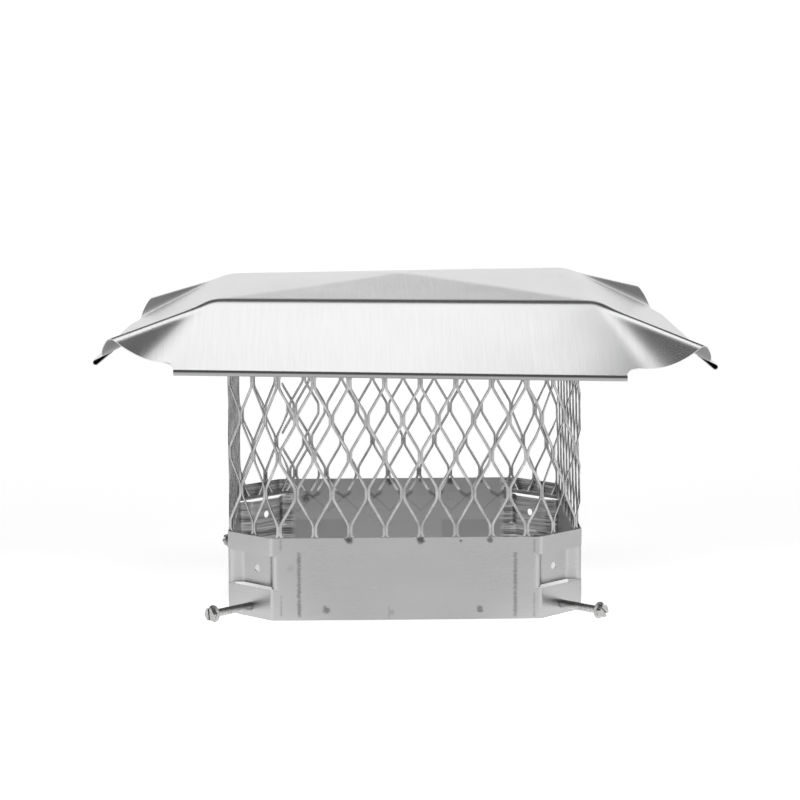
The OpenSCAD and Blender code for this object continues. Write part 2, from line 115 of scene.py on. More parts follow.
class ScreenSizes(bpy.types.PropertyGroup):
    """Sizes of the expanded metal screen."""

    thickness: length("Thickness", "Thickness of the expanded metal", 1.2)
    pitch: length("Pitch", "Distance between neighbouring bonds round the screen", 23.15)
    row: length("Row", "Distance between one row of bonds and the next", 24.2)
    bond_width: length("Bond width", "Width of two strands side by side", 3.6)
    bond_length: length("Bond length", "Length of a bond's straight sides", 6.8)
    strand: length("Strand", "Width of a strand", 1.9)
    foot_bond: length("Foot bond", "Height of the lowest full row of bonds above the rim", 5.1)
    foot_shift: length("Foot shift", "Distance of one foot from the middle of the front", -13.7)
    reach: length("Reach", "How far the screen reaches down inside the collar", 9)
    seam_lap: length("Seam", "Width over which the ends of the screen lie over each other", 30)
    seat_gap: length("Seat gap", "Gap to the collar and to the hood", 0.05)
    twist: angle("Twist", "How far the strands turn about their own length", 16)


class Finishes(bpy.types.PropertyGroup):
    """Colours of the metals and of the studio."""

    bright_sheet: colour("Hood", "Bright rolled sheet", (0.83, 0.83, 0.835))
    satin_sheet: colour("Collar", "Satin rolled sheet", (0.45, 0.45, 0.45))
    strands: colour("Screen", "Sheared strands", (0.42, 0.42, 0.42))
    screws: colour("Screws", "Cold formed screws", (0.46, 0.46, 0.455))
    nuts: colour("Nuts", "Weld nuts", (0.5, 0.5, 0.49))
    floor: colour("Floor", "Floor and backdrop", (0.93, 0.93, 0.93))


class StudioSizes(bpy.types.PropertyGroup):
    """Place of the camera, and how bright the studio is."""

    camera_place: FloatVectorProperty(
        name="Camera", description="Place of the camera", default=(-0.042592, -1.745034, 0.357153), subtype="TRANSLATION"
    )
    pitch: angle("Pitch", "How far the camera looks down", 7.424)
    yaw: angle("Yaw", "How far the camera looks to the right", 1.37)
    roll: angle("Roll", "Turn of the picture", -0.221)
    focal_pixels: FloatProperty(name="Focal length", description="Focal length in pixels of an 800 pixel frame", default=2518.4)
    light: share("Room light", "Strength of the room's light", 1.0, 0, 10)
    glow: share("Floor glow", "Light that comes up through the floor and the backdrop", 0.68, 0, 2)
    sweep_radius: length("Sweep radius", "Radius of the turn from the floor to the wall", 1500)
    sweep_reach: length("Sweep reach", "Distance of the wall", 9000)
    sweep_height: length("Sweep height", "Height of the wall", 2600)
    softbox_elevation: angle("Softbox elevation", "Elevation of the softbox behind the part", 59)
    softbox_width: length("Softbox width", "Width of the softbox", 860)
    softbox_height: length("Softbox height", "Height of the softbox", 860)
    softbox_light: share("Softbox light", "Radiance of the softbox", 1.18, 0, 10)


# Mesh helpers


def quads(rows, columns, across):
    """Corner indices of the cells of a grid whose point (i, j) has index i * across + j."""
    i, j = np.meshgrid(np.arange(rows - 1), np.arange(columns - 1), indexing="ij")
    first = (i * across + j).ravel()
    return np.stack([first, first + across, first + across + 1, first + 1], 1)


def closed_sheet(held, columns, across, main):
    """Faces of a sheet with two skins and an edge wall over the held cells of a grid of points.

    Point (i, j) has index (i * across + j) * 2 on the outer skin and one more on the inner, and i runs
    round after `columns`. Cells are cut along the diagonal that `main` names. Returns the used indices,
    triangles and quads."""
    i, j = np.nonzero(held)
    point = lambda i, j: ((i % columns) * across + j) * 2
    a, b, c, d = point(i, j), point(i + 1, j), point(i + 1, j + 1), point(i, j + 1)
    first = main[held][:, None]
    top = np.concatenate([
        np.where(first, np.stack([a, b, c], 1), np.stack([a, b, d], 1)),
        np.where(first, np.stack([a, c, d], 1), np.stack([b, c, d], 1)),
    ])
    under = top[:, ::-1] + 1
    around = held.shape[0] == columns
    padded = np.pad(held, ((1, 1), (0, 0)), mode="wrap" if around else "constant")
    padded = np.pad(padded, ((0, 0), (1, 1)))
    walls = np.concatenate([
        np.stack([v, u, u + 1, v + 1], 1)[~padded[i + 1 + di, j + 1 + dj]]
        for di, dj, u, v in ((0, -1, a, b), (1, 0, b, c), (0, 1, c, d), (-1, 0, d, a))
    ])
    used, faces = np.unique(np.concatenate([top.ravel(), under.ravel(), walls.ravel()]), return_inverse=True)
    three, four = faces[: 2 * top.size].reshape(-1, 3), faces[2 * top.size:].reshape(-1, 4)
    return used, three.tolist() + four.tolist()


def tube(rings):
    """Faces of tubes given as an array (tube, ring, place round the ring, 3), each closed at both ends.

    Every ring turns counter-clockwise when seen from the end that the tube runs towards."""
    tubes, count, around, _ = rings.shape
    r, k = np.meshgrid(np.arange(count - 1), np.arange(around), indexing="ij")
    a, b = (r * around + k).ravel(), (r * around + (k + 1) % around).ravel()
    sides = np.stack([a, b, b + around, a + around], 1)
    base = (np.arange(tubes) * count * around)[:, None, None]
    start = np.arange(around)[::-1] + base[:, 0]
    end = (count - 1) * around + np.arange(around) + base[:, 0]
    return (sides + base).reshape(-1, 4).tolist() + start.tolist() + end.tolist()


def add_piece(name, points, faces, body, material, sharp=35):
    """Makes a smooth piece with edges sharper than `sharp` degrees kept, and fixes it to a body."""
    mesh = bpy.data.meshes.new(name)
    mesh.from_pydata(np.asarray(points, float).reshape(-1, 3).tolist(), [], faces if isinstance(faces, list) else faces.tolist())
    mesh.update()
    mesh.shade_smooth()
    mesh.set_sharp_from_angle(angle=np.radians(sharp))
    mesh.materials.append(material)
    piece = bpy.data.objects.new(name, mesh)
    bpy.context.scene.collection.objects.link(piece)
    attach(piece, body)
    return piece


def mark_points(piece, name, values):
    """Store a number for each point of a piece, for its material to read."""
    store = piece.data.attributes.new(name, "FLOAT", "POINT")
    store.data.foreach_set("value", np.asarray(values, np.float32))


def smoothstep(x):
    """0 below 0, 1 above 1, and 3x^2 - 2x^3 between."""
    x = np.clip(x, 0, 1)
    return x * x * (3 - 2 * x)


def unit(v):
    """Vectors scaled to length 1."""
    return v / np.linalg.norm(v, axis=-1, keepdims=True)


# Materials

# Round marks on the collar's front and inside its back: place along X and Z, radius, depth of shade, in mm
FRONT_SPOTS = (
    (-37.4, 53.4, 3.4, 0.75), (9.3, 53.4, 3.4, 0.75), (54.8, 53.2, 2.6, 0.6), (35.8, 52.2, 1.2, 0.6),
    # The spot at X -76.3, Z 34.6 is painted shade where the front is pulled in beside the front left pad.
    (-52.9, 7.0, 2.9, 0.6), (48.3, 6.5, 2.9, 0.6), (-52.9, 7.0, 1.1, -0.5), (48.3, 6.5, 1.1, -0.5), (-76.3, 34.6, 3.0, 0.1), (-9.5, 5.0, 2.0, 0.2),
)
BACK_SPOTS = (
    (-69.2, 40.1, 3.8, 0.6), (-50.6, 52.5, 3.4, 0.6), (-5.7, 52.5, 3.8, 0.7), (17.5, 53.0, 2.4, 0.5),
    (39.5, 52.5, 3.8, 0.7), (62.0, 53.0, 3.0, 0.45), (84.0, 53.0, 2.6, 0.4),
)
# Upright scored lines on the front: place along X, lower and upper end, width, depth of shade, in mm
FRONT_LINES = (
    (-82.3, 2.0, 17.3, 0.9, 0.25), (-82.3, 45.9, 54.6, 0.9, 0.25), (84.0, 0.5, 17.8, 0.9, 0.25), (84.0, 44.0, 53.8, 0.9, 0.25),
    (-70.5, 2.0, 46.0, 1.6, 0.45), (71.5, 1.0, 45.0, 1.6, 0.4), (-11.5, 0.6, 10.0, 0.8, 0.2),
)
# Painted reflection of the screen's strands inside the back: place of a bond along X and Z, distance between bonds, in
# mm
STRAND_REFLECTION_BOND = (-40.5, 41.0, 23.15)
# Painted reflections, inside the back, of the dark front edge: left, right and upper end, depth of shade, in mm
FRONT_EDGE_REFLECTIONS = ((-85.5, -36.7, 23.9, 0.16), (33.3, 84.6, 22.9, 0.16))


class Finish:
    """A node material that is written top down: each call adds a node and returns its output."""

    def __init__(self, name):
        self.material = bpy.data.materials.new(name)
        self.material.use_nodes = True
        self.tree = self.material.node_tree
        self.shader = self.tree.nodes["Principled BSDF"]
        self.shader.inputs["Metallic"].default_value = 1.0
        self.place = self.node("ShaderNodeTexCoord").outputs["Object"]

    def node(self, kind, **settings):
        node = self.tree.nodes.new(kind)
        for key, value in settings.items():
            setattr(node, key, value)
        return node

    def join(self, source, socket):
        if isinstance(source, bpy.types.NodeSocket):
            self.tree.links.new(source, socket)
        else:
            socket.default_value = source

    def math(self, operation, a, b=0.0, c=0.0):
        node = self.node("ShaderNodeMath", operation=operation)
        for source, socket in zip((a, b, c), node.inputs):
            self.join(source, socket)
        return node.outputs[0]

    def scaled(self, scale, offset=(0, 0, 0)):
        """Object coordinates, moved by offset and then stretched."""
        node = self.node("ShaderNodeMapping", vector_type="POINT")
        self.join(self.place, node.inputs["Vector"])
        node.inputs["Scale"].default_value = scale
        node.inputs["Location"].default_value = offset
        return node.outputs[0]

    def noise(self, scale, detail=3.0, rough=0.55, offset=(0, 0, 0)):
        """Noise whose grains are 1 / scale metres long on each axis."""
        node = self.node("ShaderNodeTexNoise")
        self.join(self.scaled(scale, offset), node.inputs["Vector"])
        node.inputs["Scale"].default_value = 1.0
        node.inputs["Detail"].default_value = detail
        node.inputs["Roughness"].default_value = rough
        return node.outputs["Fac"]

    def range(self, value, low, high, out_low, out_high):
        """Maps low..high to out_low..out_high, held at the ends."""
        node = self.node("ShaderNodeMapRange", clamp=True)
        for source, socket in zip((value, low, high, out_low, out_high), node.inputs):
            self.join(source, socket)
        return node.outputs[0]

    def axis(self, name):
        """One Object coordinate."""
        node = self.node("ShaderNodeSeparateXYZ")
        self.join(self.place, node.inputs[0])
        return node.outputs[name]

    def attribute(self, name):
        return self.node("ShaderNodeAttribute", attribute_name=name).outputs["Fac"]

    def tint(self, base, *shades):
        """A colour times a list of grey factors."""
        factor = shades[0]
        for shade in shades[1:]:
            factor = self.math("MULTIPLY", factor, shade)
        node = self.node("ShaderNodeVectorMath", operation="SCALE")
        node.inputs[0].default_value = base
        self.join(factor, node.inputs["Scale"])
        return node.outputs[0]

    def bump(self, height, distance, strength=1.0, under=None):
        """A bump of that height in metres."""
        node = self.node("ShaderNodeBump")
        node.inputs["Strength"].default_value = strength
        node.inputs["Distance"].default_value = distance
        self.join(height, node.inputs["Height"])
        if under is not None:
            self.join(under, node.inputs["Normal"])
        return node.outputs[0]

    def finish(self, base, roughness, normal):
        self.join(base, self.shader.inputs["Base Color"])
        self.join(roughness, self.shader.inputs["Roughness"])
        self.join(normal, self.shader.inputs["Normal"])
        return self.material


def bright_sheet(base):
    """Bright sheet rolled along Y: hair-fine grain, cloudy handling marks and a slight wave, with painted shade, down
    to 0.45 of the colour, on the hem strips and on the underside.
    """
    f = Finish("bright_sheet")
    grain = f.noise((1900, 30, 30), 2.0)
    cloud = f.noise((18, 18, 18), 4.0)
    streak = f.noise((330, 5, 5), 2.0, 0.6)
    wave = f.noise((7, 7, 7), 0.0)
    shade = f.range(cloud, 0.3, 0.7, 0.985, 1.01)
    lines = f.range(streak, 0.3, 0.7, 0.994, 1.006)
    # Painted shade: the hem strips and the inner skin under the hood are darkened to 0.45 of the colour.
    hem = f.range(f.attribute("hem"), 0.0, 1.0, 1.0, 0.45)
    under = f.range(f.attribute("inside"), 0.0, 1.0, 1.0, 0.45)
    rough = f.math("ADD", f.range(cloud, 0.3, 0.7, 0.2, 0.23), f.range(grain, 0.3, 0.7, -0.015, 0.015))
    normal = f.bump(wave, 0.00012)
    f.shader.inputs["Specular Tint"].default_value = (0.58, 0.58, 0.58, 1)
    return f.finish(f.tint(base, shade, lines, f.math("MINIMUM", hem, under)), rough, normal)


def satin_sheet(base, c):
    """Satin collar sheet: fine grain along the strip, smears from the press, burn marks of the spot welds
    along the rim, two pressed rings and scored bend lines on the front, a painted shade where the front is pulled in
    beside the left pad, drawing ripples inside the corners with painted shade and highlight along them, and painted
    reflections of the strands and of the dark front edge inside the back."""
    f = Finish("satin_sheet")
    grain = f.noise((60, 60, 2200), 2.0)
    cloud = f.noise((26, 26, 34), 4.0)
    smear = f.noise((14, 14, 90), 3.0)
    speck = f.noise((420, 420, 420), 3.0)
    saw = f.noise((300, 300, 900), 2.0)
    inside = f.attribute("inside")
    front = -c.depth / 2
    in_back = f.math("MULTIPLY", inside, f.range(f.axis("Y"), -front - 0.002, -front - 0.001, 0.0, 1.0))

    def strip(left, right, top, depth):
        """1 outside a painted reflection of the dark front edge, a strip low on the inside of the back, down to 1 -
        depth on it.
        """
        on = in_back
        for source, at, way in ((f.axis("X"), left, 1), (f.axis("X"), right, -1), (f.axis("Z"), top, -1)):
            edge = f.range(source, (at - 0.4) * MM, (at + 0.4) * MM, (1 - way) / 2, (1 + way) / 2)
            on = f.math("MULTIPLY", on, edge)
        return f.range(on, 0.0, 1.0, 1.0, 1 - depth)

    def painted_strand_reflection(slope, width, reach, depth):
        """1 off the painted reflection of the strands inside the back, down to 1 - depth on it; slope is that of its
        arms.
        """
        aside = f.math("PINGPONG", f.math("SUBTRACT", f.axis("X"), STRAND_REFLECTION_BOND[0] * MM), STRAND_REFLECTION_BOND[2] * MM / 2)
        off = f.math("SUBTRACT", f.axis("Z"), f.math("MULTIPLY_ADD", aside, slope, STRAND_REFLECTION_BOND[1] * MM))
        ragged = f.math("MULTIPLY_ADD", speck, width * MM, f.math("ABSOLUTE", off))
        on = f.range(ragged, 0.8 * width * MM, 1.8 * width * MM, 1.0, 0.0)
        on = f.math("MULTIPLY", f.math("MULTIPLY", on, in_back), f.range(aside, reach * MM, (reach + 2) * MM, 1.0, 0.0))
        on = f.math("MULTIPLY", on, f.range(f.math("ABSOLUTE", f.axis("X")), 0.08, 0.085, 1.0, 0.0))
        return f.range(on, 0.0, 1.0, 1.0, 1 - depth)

    def mark(x, y, z, radius, depth, soft=0.6):
        """1 outside a round mark, down to 1 - depth within it, with a ragged edge."""
        node = f.node("ShaderNodeVectorMath", operation="DISTANCE")
        f.join(f.place, node.inputs[0])
        node.inputs[1].default_value = (x * MM, y, z * MM)
        ragged = f.math("MULTIPLY_ADD", speck, 1.4 * radius * MM, node.outputs["Value"])
        return f.range(ragged, (1.7 - soft) * radius * MM, 1.7 * radius * MM, 1 - depth, 1.0)

    def line(x, z_low, z_high, width, depth):
        """1 off a broken upright line on the front, down to 1 - depth on it."""
        off = f.math("ABSOLUTE", f.math("SUBTRACT", f.axis("X"), x * MM))
        ragged = f.math("MULTIPLY_ADD", saw, 2.0 * width * MM, off)
        on = f.range(ragged, 1.1 * width * MM, 2.1 * width * MM, 1.0, 0.0)
        for source, low, high in ((f.axis("Z"), z_low, z_low + 1), (f.math("MULTIPLY", f.axis("Z"), -1.0), -z_high, 1 - z_high)):
            on = f.math("MULTIPLY", on, f.range(source, low * MM, high * MM, 0.0, 1.0))
        on = f.math("MULTIPLY", on, f.range(f.axis("Y"), front + 0.001, front + 0.002, 1.0, 0.0))
        return f.range(on, 0.0, 1.0, 1.0, 1 - depth)

    marks = [mark(x, front, z, r, d) for x, z, r, d in FRONT_SPOTS]
    marks += [mark(x, -front - c.sheet, z, r, d) for x, z, r, d in BACK_SPOTS]
    marks += [line(*spec) for spec in FRONT_LINES]
    # Painted reflections of the dark front edge, low inside the back.
    marks += [strip(*spec) for spec in FRONT_EDGE_REFLECTIONS]
    # Painted reflections of the strands on the inside of the back.
    marks += [painted_strand_reflection(0.6, 1.7, 4.5, 0.45), painted_strand_reflection(-0.95, 0.9, 12, 0.2)]
    shade = [f.range(cloud, 0.3, 0.7, 0.95, 1.03), f.range(smear, 0.35, 0.7, 0.985, 1.01)] + marks
    rough = f.math("ADD", f.range(cloud, 0.3, 0.7, 0.27, 0.34), f.range(grain, 0.3, 0.7, -0.03, 0.03))

    corner = f.math("ADD", f.math("ABSOLUTE", f.axis("X")), f.math("ABSOLUTE", f.axis("Y")))
    limit = (c.width + c.depth) / 2 - c.bevel_leg
    fold = f.noise((12, 12, 420), 2.0)
    crowded = f.math("MULTIPLY", inside, f.range(corner, limit - 0.0125, limit - 0.009, 0.0, 1.0))
    ripple = f.math("MULTIPLY", fold, crowded)
    # Painted shade and highlight along the drawing ripples: the colour runs from 0.6 to 1.25 of itself across them;
    # their relief is the bump below.
    shade.append(f.math("MULTIPLY_ADD", crowded, f.range(fold, 0.42, 0.58, -0.4, 0.25), 1.0))
    dent = f.noise((16, 16, 16), 1.5)
    normal = f.bump(ripple, 0.003, under=f.bump(grain, 0.0000012, under=f.bump(dent, 0.0007)))
    return f.finish(f.tint(base, *shade), rough, normal)


def strand_metal(base):
    """Strands of expanded metal: tone and roughness in short patches, painted shade on the strands' sides beside a
    painted highlight on their faces, and painted light, up to 1.7 times, on their parts inside the collar below the
    rim.
    """
    f = Finish("expanded_metal")
    patch = f.noise((150, 150, 90), 3.0)
    fine = f.noise((900, 900, 500), 3.0)
    shade = [f.range(patch, 0.32, 0.68, 0.72, 1.12), f.range(fine, 0.35, 0.65, 0.9, 1.06)]
    # Painted shade on the strands' sides, to 0.62, and painted highlight on their faces, to 1.16.
    shade.append(f.range(f.attribute("painted_side_shade"), 0.2, 0.8, 1.16, 0.62))
    # Painted light: the strands inside the collar, below the rim, are lightened up to 1.7 times.
    shade.append(f.range(f.axis("Z"), 0.049, 0.054, 1.7, 1.0))
    rough = f.range(patch, 0.3, 0.7, 0.2, 0.34)
    return f.finish(f.tint(base, *shade), rough, f.bump(fine, 0.00006))


def screw_metal(base):
    """Cold formed screws: bright, with dark specks in the thread's roots."""
    f = Finish("screw_steel")
    speck = f.noise((900, 900, 900), 3.0)
    cloud = f.noise((210, 210, 210), 3.0)
    shade = f.math("MULTIPLY", f.range(speck, 0.35, 0.65, 0.7, 1.1), f.range(cloud, 0.3, 0.7, 0.85, 1.06))
    return f.finish(f.tint(base, shade), f.range(cloud, 0.3, 0.7, 0.2, 0.34), f.bump(speck, 0.00004))


def nut_metal(base):
    """Machined weld nuts, browned a little by the weld."""
    f = Finish("nut_steel")
    turned = f.noise((600, 600, 2600), 2.0)
    heat = f.noise((160, 160, 160), 3.0)
    return f.finish(f.tint(base, f.range(heat, 0.3, 0.7, 0.75, 1.05)), f.range(heat, 0.3, 0.7, 0.3, 0.5), f.bump(turned, 0.00002))


# Hood


class PressedSheet:
    """The flat blank of the hood carried to its pressed shape."""

    def __init__(self, h, sheet):
        self.h, self.sheet = h, sheet
        self.flange = np.array([np.cos(h.flange_slope), np.sin(h.flange_slope)])
        self.strip_end = h.hem_width / 2 + h.relief - h.fold_half

    def ear_lift(self, m):
        """0 below the valley, then a parabola, then a straight rise to 1 at the ridge, over the side run m."""
        h = self.h
        a = m - h.valley + h.valley_soft
        bend = np.where(a < 2 * h.valley_soft, a * a / (4 * h.valley_soft), m - h.valley)
        return np.where(a <= 0, 0, bend) / (1 - h.valley)

    def folded(self, x, y):
        """Sharp shape: inside the fold square a shallow pyramid, outside it each flange turned down by
        the flange slope, and between two flanges an ear lifted to a ridge at the ear slope."""
        h, (ca, sa) = self.h, self.flange
        ce, se = np.cos(h.ear_slope), np.sin(h.ear_slope)
        p, q = np.abs(x) - h.fold_half, np.abs(y) - h.fold_half
        far, near, swap = np.maximum(p, q), np.minimum(p, q), p > q
        past = far > 0
        reach = np.where(past, far, 1)
        lift = np.where(past & (near > 0), far * self.ear_lift(np.clip(near / reach, 0, 1)), 0)
        along = h.fold_half + near + lift * (ce - 1)
        out = h.fold_half + np.where(past, far * ca + lift * (ce - ca), far)
        z = np.where(past, -far * sa + lift * (sa - np.sqrt(2) * se), -h.rise * far / h.fold_half)
        return np.stack([np.sign(x) * np.where(swap, out, along), np.sign(y) * np.where(swap, along, out), h.fold_height + z], -1)

    def skin(self, x, y):
        """Mean of the sharp shape over three rings of points round a point, which rounds every fold."""
        total = 0
        for reach, count in ((0.3, 6), (0.65, 12), (1.0, 18)):
            for a in (np.arange(count) + reach) * 2 * np.pi / count:
                total = total + self.folded(x + self.h.soft * reach * np.cos(a), y + self.h.soft * reach * np.sin(a))
        return total / 36

    def normal(self, x, y):
        """Cross product of the skin's slopes along x and along y."""
        e = 0.4 * MM
        return unit(np.cross(self.skin(x + e, y) - self.skin(x - e, y), self.skin(x, y + e) - self.skin(x, y - e)))

    def to_hem(self, x, y):
        """Front flange points drawn to the left, in proportion to their reach, to the off-centre hem."""
        h = self.h
        q, p = -y - h.fold_half, np.abs(x) - h.fold_half
        fade = np.clip((h.ear_length - p) / (h.ear_length - self.strip_end), 0, 1)
        return np.where(q > 0, x - h.hem_shift * q / h.ear_length * fade, x)

    def to_tip(self, x, y):
        """Corner points drawn in, with the cube of their reach, to the ear's round free edge."""
        h = self.h
        p, q = np.abs(x) - h.fold_half, np.abs(y) - h.fold_half
        far, near = np.maximum(p, q), np.minimum(p, q)
        corner = near > 0
        k = np.where(corner, near / np.where(corner, far, 1), 0)
        r = h.ear_radius / h.ear_length
        c = 1 - r
        root = np.sqrt(np.maximum((c * (1 + k)) ** 2 - (1 + k * k) * (2 * c * c - r * r), 0))
        edge = np.where(k <= c, 1, (c * (1 + k) + root) / (1 + k * k))
        g = 1 - (far / h.ear_length) ** 3 * (1 - edge)
        return (
            np.where(corner, np.sign(x) * (h.fold_half + p * g), x),
            np.where(corner, np.sign(y) * (h.fold_half + q * g), y),
        )

    def blank(self, x, y):
        """Outer and inner skins of the flat blank's grid, one sheet thickness apart along the normal."""
        x, y = self.to_tip(self.to_hem(x, y), y)
        outer = self.skin(x, y)
        return np.stack([outer, outer - self.sheet * self.normal(x, y)], -2)

    def hem_rows(self, relief_steps, nose_steps, return_steps):
        """Places along and off the flange of the hem's rows: the relief, then an arc, then the return."""
        h = self.h
        r = h.hem_depth / 2
        turn = np.pi + np.arcsin((h.hem_depth - 2 * self.sheet - 0.2 * MM) / h.hem_return)
        q = h.ear_length + h.relief * np.arange(1, relief_steps + 1) / relief_steps
        flat = np.stack([np.stack([q, 0 * q], -1), np.stack([q, 0 * q - self.sheet], -1)], 1)
        a = turn * np.arange(nose_steps + 1) / nose_steps
        arc = np.stack([np.stack([h.flange_length + k * np.sin(a), k * np.cos(a) - r], -1) for k in (r, r - self.sheet)], 1)
        step = h.hem_return * np.array([np.cos(turn), -np.sin(turn)])
        back = arc[-1] + np.arange(1, return_steps + 1)[:, None, None] / return_steps * step
        return np.concatenate([flat, arc, back])

    def hem(self, u, rows, relief_steps):
        """Front hem: each row runs along the fold, and past the fold's corners a quarter-round relief narrows it."""
        h, (ca, sa) = self.h, self.flange
        q = np.clip(rows[:, 0, 0] - h.ear_length, 0, h.relief)
        open_by = np.where(np.arange(len(rows)) < relief_steps, np.sqrt(q * (2 * h.relief - q)), h.relief)
        keep = (self.strip_end - open_by) / self.strip_end
        over = np.maximum(np.abs(u) - h.fold_half, 0)
        x = np.sign(u)[:, None] * (np.minimum(np.abs(u), h.fold_half)[:, None] + over[:, None] * keep)
        along, off = rows[..., 0], rows[..., 1]
        y = -h.fold_half - along * ca - off * sa
        z = h.fold_height - along * sa + off * ca
        shape = (len(u),) + y.shape
        return np.stack([np.broadcast_to(x[..., None], shape), np.broadcast_to(y, shape), np.broadcast_to(z, shape)], -1)


def grid_lines(h, strip_end):
    """Flat distances from the middle: even on the top, close together round the fold, even on the ears."""
    half = np.concatenate([
        np.linspace(0, h.fold_half - 1.25 * h.soft, 34)[1:],
        np.linspace(h.fold_half - 1.1 * h.soft, h.fold_half + 1.1 * h.soft, 13),
        np.linspace(h.fold_half + 1.25 * h.soft, h.fold_half + strip_end, 7),
    ])
    ear = np.linspace(h.fold_half + strip_end, h.fold_half + h.ear_length, 25)[1:]
    half = np.concatenate([half, ear])
    return np.concatenate([-half[::-1], [0], half]), len(ear)


def quarter_turned(points, turns):
    """Points turned by quarter turns about Z."""
    for _ in range(turns):
        points = np.stack([-points[..., 1], points[..., 0], points[..., 2]], -1)
    return points


def hood_mesh(h, sheet):
    """The blank's grid with a hem strip past each side, as one closed sheet with two skins and an edge wall."""
    press = PressedSheet(h, sheet)
    lines, ear_steps = grid_lines(h, press.strip_end)
    relief_steps = 6
    rows = press.hem_rows(relief_steps, 14, 5)
    n, e = len(lines), len(rows)
    full = np.zeros((n + 2 * e, n + 2 * e, 2, 3))
    x, y = np.meshgrid(lines, lines, indexing="ij")
    full[e:e + n, e:e + n] = press.blank(x, y)
    front = press.hem(lines, rows, relief_steps)
    full[e:e + n, :e] = (front - [h.hem_shift, 0, 0])[:, ::-1]
    full[e:e + n, e + n:] = quarter_turned(front, 2)[::-1]
    full[:e, e:e + n] = quarter_turned(front, 3)[::-1, ::-1].transpose(1, 0, 2, 3)
    full[e + n:, e:e + n] = quarter_turned(front, 1).transpose(1, 0, 2, 3)
    full[..., 2] += h.spring * full[..., 0] * full[..., 1] / h.fold_half**2

    cells = n + 2 * e - 1
    place = np.arange(cells) - e
    blank = (place >= 0) & (place < n - 1)
    strip = (place >= ear_steps) & (place < n - 1 - ear_steps)
    held = np.outer(blank, blank) | np.outer(strip, ~blank) | np.outer(~blank, strip)
    middle = place + e - (cells - 1) / 2
    used, faces = closed_sheet(held, n + 2 * e, n + 2 * e, np.outer(middle, middle) > 0)
    out = np.clip((np.abs(np.arange(n + 2 * e) - (n - 1) / 2 - e) - (n - 1) / 2 - relief_steps - 2) / 3, 0, 1)
    hemmed = np.repeat(np.maximum.outer(out, out)[..., None], 2, -1)
    return full.reshape(-1, 3)[used], faces, hemmed.ravel()[used], used % 2


class CAP_OT_hood(bpy.types.Operator):
    """Build the pressed hood with its hems and ears"""

    bl_idname = "cap.hood"
    bl_label = "Hood"

    def execute(self, context):
        scene = context.scene
        points, faces, hemmed, inside = hood_mesh(scene.cap_hood, scene.cap_collar.sheet)
        metal = bright_sheet(scene.cap_finish.bright_sheet)
        hood = add_piece("hood_sheet", points, faces, "cap", metal, 60)
        # The hem and inside marks carry painted shade: the hood's material darkens the hem strips and the underside
        # with them.
        mark_points(hood, "hem", hemmed)
        mark_points(hood, "inside", inside)
        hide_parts("hood")
        return {"FINISHED"}


# Screen


def bevelled(w, d, leg):
    """Corners of a bevelled rectangle, from the front of the right side on round the back."""
    return np.array([
        [w, leg - d], [w, d - leg], [w - leg, d], [leg - w, d],
        [-w, d - leg], [-w, leg - d], [leg - w, -d], [w - leg, -d],
    ])


class BentStrip:
    """The strip's run round the bevelled collar, from the back left bend on round the front."""

    def __init__(self, collar, screen):
        inset = collar.sheet + screen.seat_gap
        leg = collar.bevel_leg - (2 - np.sqrt(2)) * collar.sheet + collar.bend_radius * np.tan(np.pi / 8)
        corners = bevelled(collar.width / 2 - inset, collar.depth / 2 - inset, leg)
        corners = np.roll(corners, -3, axis=0)
        steps = np.roll(corners, -1, axis=0) - corners
        self.lengths = np.linalg.norm(steps, axis=1)
        self.ends = np.concatenate([[0], np.cumsum(self.lengths)])
        self.total = self.ends[-1]
        self.front_middle = (self.ends[3] + self.ends[4]) / 2
        radius = 3 * MM
        zone = radius * np.tan(np.pi / 8)
        heading = np.unwrap(np.arctan2(steps[:, 1], steps[:, 0]))
        heading = np.concatenate([heading, [heading[0] + 2 * np.pi]])
        around = np.linspace(-zone, zone, 9)
        s, place = [], []
        for k in range(1, 9):
            before = np.array([np.cos(heading[k - 1]), np.sin(heading[k - 1])])
            side = np.array([-before[1], before[0]])
            turn = (around + zone) / (2 * zone) * (heading[k] - heading[k - 1])
            start = corners[k % 8] - zone * before
            s.append(self.ends[k] + around)
            place.append(start + radius * (np.sin(turn)[:, None] * before + (1 - np.cos(turn))[:, None] * side))
        s, place = np.concatenate(s), np.concatenate(place)
        self.s = np.concatenate([s[-9:] - self.total, s])
        self.place = np.concatenate([place[-9:], place])

    def point(self, s, depth):
        """Plan point at run s, moved inward by depth: along straight faces, and round an arc at each bend."""
        s = np.mod(s - self.s[0], self.total) + self.s[0]
        at = lambda run: np.stack([np.interp(run, self.s, self.place[:, k]) for k in (0, 1)], -1)
        e = 0.3 * MM
        ahead = unit(at(np.minimum(s + e, self.s[-1])) - at(np.maximum(s - e, self.s[0])))
        inward = np.stack([-ahead[..., 1], ahead[..., 0]], -1)
        return at(s) + depth[..., None] * inward, ahead, inward


